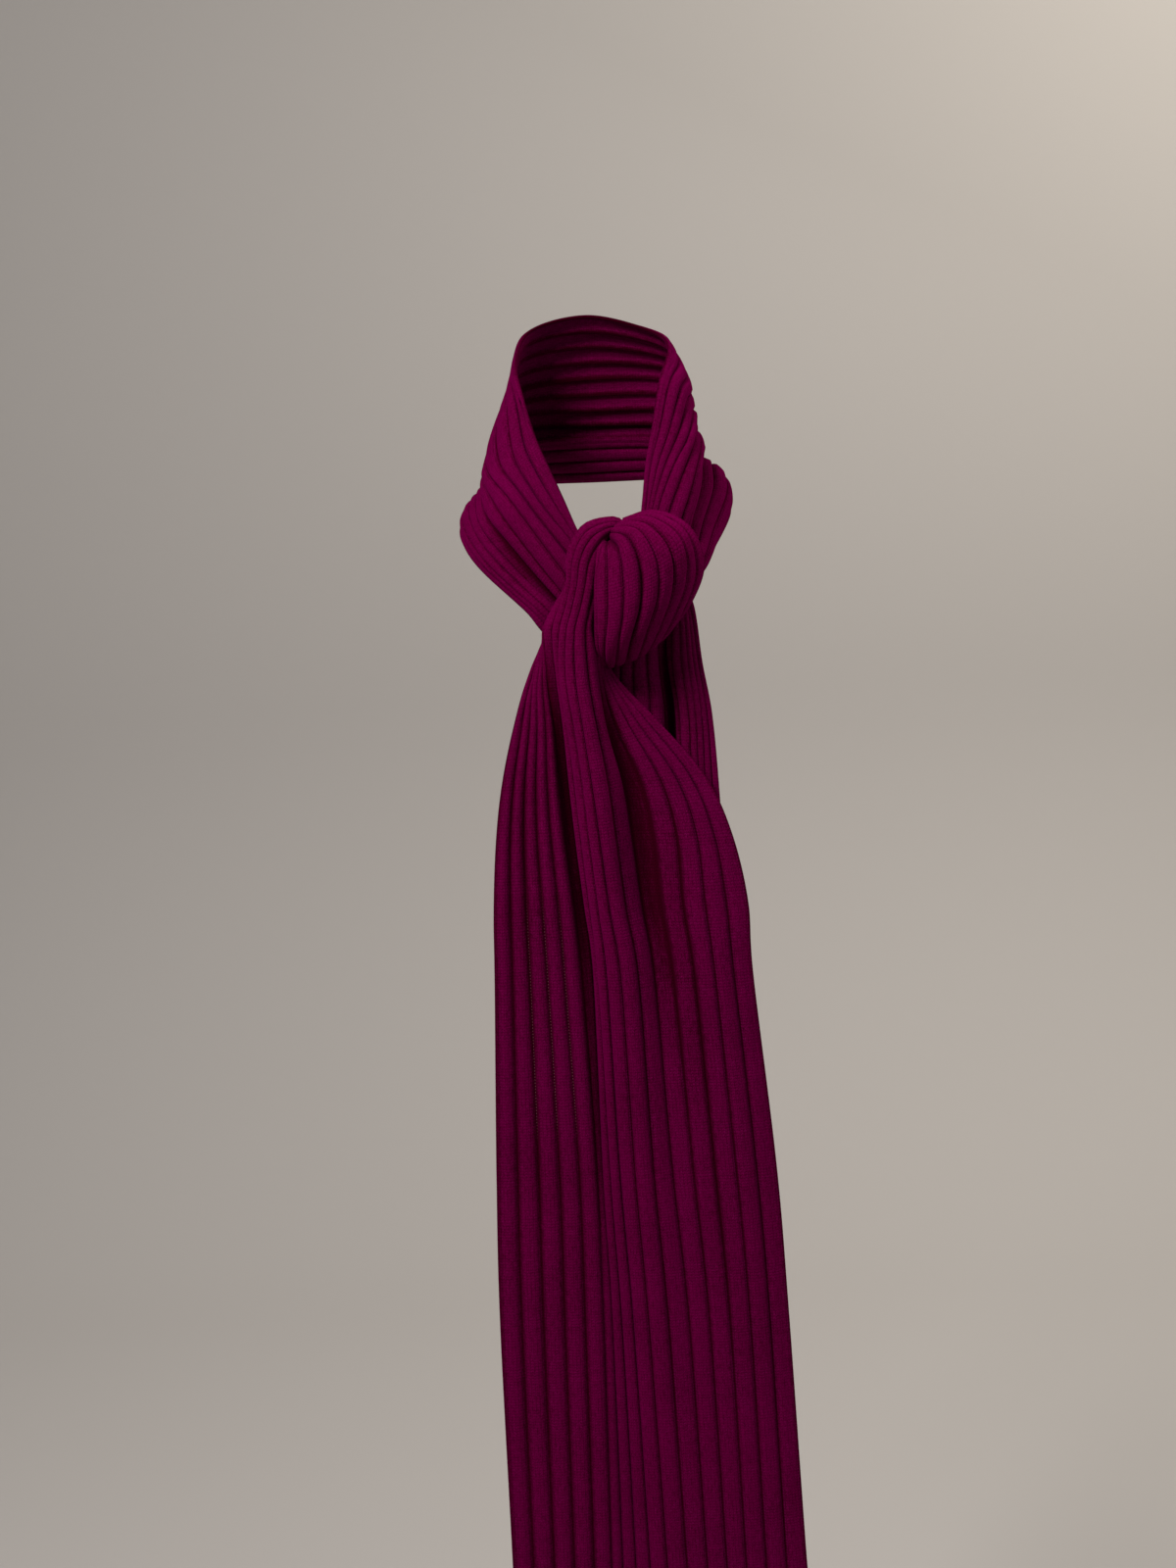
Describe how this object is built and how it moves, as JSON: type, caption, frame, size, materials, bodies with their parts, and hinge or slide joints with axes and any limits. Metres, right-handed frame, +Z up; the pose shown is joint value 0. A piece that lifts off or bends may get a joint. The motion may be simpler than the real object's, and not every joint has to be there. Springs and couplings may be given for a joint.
{
  "type": "knit scarf, worn",
  "caption": "Wide-rib knit scarf in its worn pose: round the neck, tied in front with one half knot, with a broad front tail hanging over a shorter back tail.",
  "frame": {"origin": "on the neck's axis, level with the base of the neck, where the wearer holds the scarf up", "axes": "+Z up; the wearer faces -Y; +X is to the right as seen from in front of the wearer"},
  "size_m": [0.2321, 0.2563, 1.0128],
  "materials": {
    "rib_knit": "matt, slightly fuzzy magenta rib knit"
  },
  "bodies": {
    "root": {"knot_wrap": "rib_knit", "knot_arch": "rib_knit", "front_tail": "rib_knit", "back_tail": "rib_knit", "neck_band_left": "rib_knit", "neck_band_right": "rib_knit", "knot_core": "rib_knit"}
  },
  "joints": []
}
